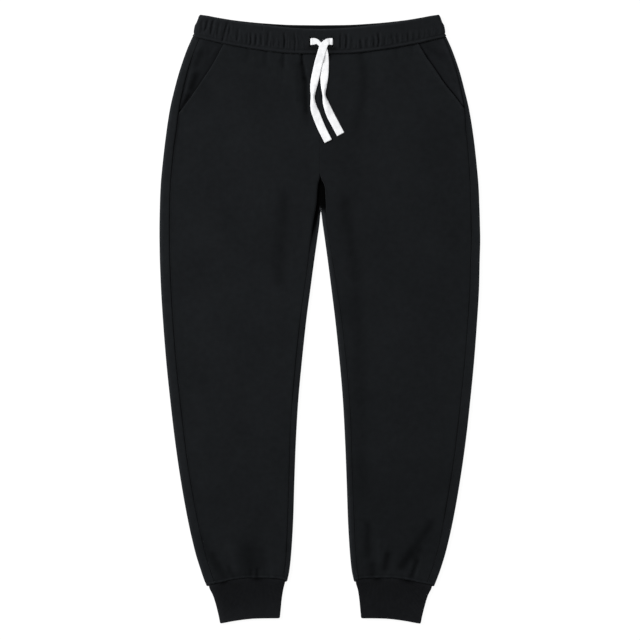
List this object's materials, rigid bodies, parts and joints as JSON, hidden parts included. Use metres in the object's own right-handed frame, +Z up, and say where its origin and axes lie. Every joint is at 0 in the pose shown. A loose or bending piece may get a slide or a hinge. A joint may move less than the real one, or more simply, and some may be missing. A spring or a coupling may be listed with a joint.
{
  "type": "fleece joggers laid flat",
  "caption": "Sweatpants laid flat, front up: elastic gathered waistband, flat drawstring ends, slant pockets and rib cuffs.",
  "frame": {"origin": "on the surface, under the middle of the garment's box", "axes": "+Y along the garment towards the waist, +Z up out of the front, +X towards the wearer's left leg"},
  "size_m": [0.5444, 1.0338, 0.0145],
  "materials": {
    "fleece": "black smooth-faced fleece, matt",
    "waistband": "black fleece gathered over elastic, matt",
    "rib_knit": "black rib knit, matt",
    "drawstring": "white flat woven tape, matt"
  },
  "bodies": {
    "root": {"front_left": "fleece", "front_right": "fleece", "back_left": "fleece", "back_right": "fleece", "pocket_facing_left": "fleece", "pocket_facing_right": "fleece", "waistband": "waistband", "cuff_left": "rib_knit", "cuff_right": "rib_knit", "drawstring_left": "drawstring", "drawstring_right": "drawstring"}
  },
  "joints": []
}
